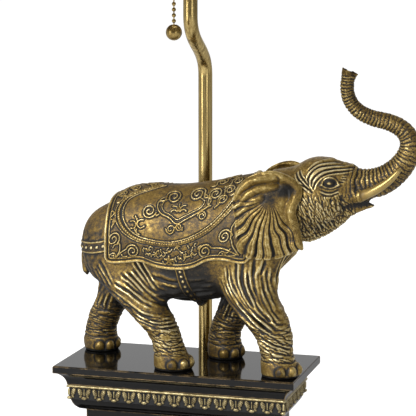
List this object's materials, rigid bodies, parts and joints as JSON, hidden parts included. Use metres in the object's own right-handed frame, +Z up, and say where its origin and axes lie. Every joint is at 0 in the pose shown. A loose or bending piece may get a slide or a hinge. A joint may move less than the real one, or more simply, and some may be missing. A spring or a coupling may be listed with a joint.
{
  "type": "elephant table lamp",
  "caption": "Table lamp: a caparisoned cast elephant on a moulded plinth, a bent brass pipe behind it, a pull-chain socket and a fabric shade.",
  "frame": {"origin": "centre of the plinth's footprint on the table", "axes": "+X towards the elephant's head, +Y to the back (pipe side), +Z up"},
  "size_m": [0.3818, 0.3818, 0.5947],
  "materials": {
    "black_enamel": "gloss black enamel over iron, bronze at the rubbed edges",
    "gilding": "gilt paint over a cast strip",
    "board": "raw fibre board",
    "felt": "felt",
    "screw_steel": "plain zinc",
    "antique_gold": "antique gold paint rubbed over a near-black ground",
    "tusk_brass": "smooth polished",
    "antique_brass": "streaked antique lacquer",
    "flex": "smooth flex",
    "bushing_rubber": "matt",
    "plug_plastic": "moulded",
    "blade_brass": "bright",
    "harp_brass": "satin plate",
    "socket_brass": "antique lacquer",
    "liner_board": "fibre",
    "phenolic": "moulded phenolic",
    "contact_brass": "bright",
    "chain_brass": "antique lacquer",
    "bulb_metal": "plain",
    "frosted_glass": "frosted",
    "frame_steel": "white paint",
    "shade_linen": "woven linen on a stiff lining",
    "trim_fabric": "folded linen tape"
  },
  "bodies": {
    "lamp": {"plinth_casting": "black_enamel", "leaf_band": "gilding", "base_cover": "board", "felt_pad": "felt", "cover_screws": "screw_steel", "elephant_near_half": "antique_gold", "elephant_far_half": "antique_gold", "near_tusk": "tusk_brass", "far_tusk": "tusk_brass", "body_screws": "screw_steel", "foot_bolts": "screw_steel", "foot_washers": "screw_steel", "lamp_pipe": "antique_brass", "pipe_washer": "screw_steel", "pipe_nut": "screw_steel", "cord": "flex", "cord_bushing": "bushing_rubber", "plug_body": "plug_plastic", "plug_blades": "blade_brass", "check_ring": "antique_brass", "harp_saddle": "harp_brass", "socket_nut": "blade_brass", "harp": "harp_brass", "socket_cap": "socket_brass", "socket_shell": "socket_brass", "socket_liner": "liner_board", "socket_body": "phenolic", "screw_shell": "contact_brass", "centre_contact": "contact_brass", "chain_guide": "socket_brass"},
    "pull": {"pull_chain": "chain_brass", "pull_ball": "chain_brass"},
    "rotor": {"switch_rotor": "phenolic"},
    "bulb": {"bulb_base": "bulb_metal", "bulb_glass": "frosted_glass"},
    "shade": {"shade_frame": "frame_steel", "shade_fabric": "shade_linen", "shade_trim": "trim_fabric"},
    "finial_knob": {"finial": "antique_brass"}
  },
  "joints": [
    {"name": "chain_pull", "type": "slide", "parent": "lamp", "child": "pull", "axis": [0, 0, -1], "range_m": [0, 0.01]},
    {"name": "switch_rotor_turn", "type": "hinge", "parent": "lamp", "child": "rotor", "pos_m": [0.0015, 0.003, 0.4137], "axis": [1, 0, 0], "range_deg": [0, 90]},
    {"name": "bulb_turn", "type": "hinge", "parent": "lamp", "child": "bulb", "pos_m": [0.0015, 0.003, 0.4281], "axis": [0, 0, 1], "continuous": true},
    {"name": "shade_spin", "type": "hinge", "parent": "lamp", "child": "shade", "pos_m": [0.0015, 0.003, 0.564], "axis": [0, 0, 1], "continuous": true},
    {"name": "finial_spin", "type": "hinge", "parent": "lamp", "child": "finial_knob", "pos_m": [0.0015, 0.003, 0.566], "axis": [0, 0, 1], "continuous": true}
  ],
  "couplings": [
    {"joint": "switch_rotor_turn", "follows": "chain_pull", "rad_per_m": 157.07}
  ]
}
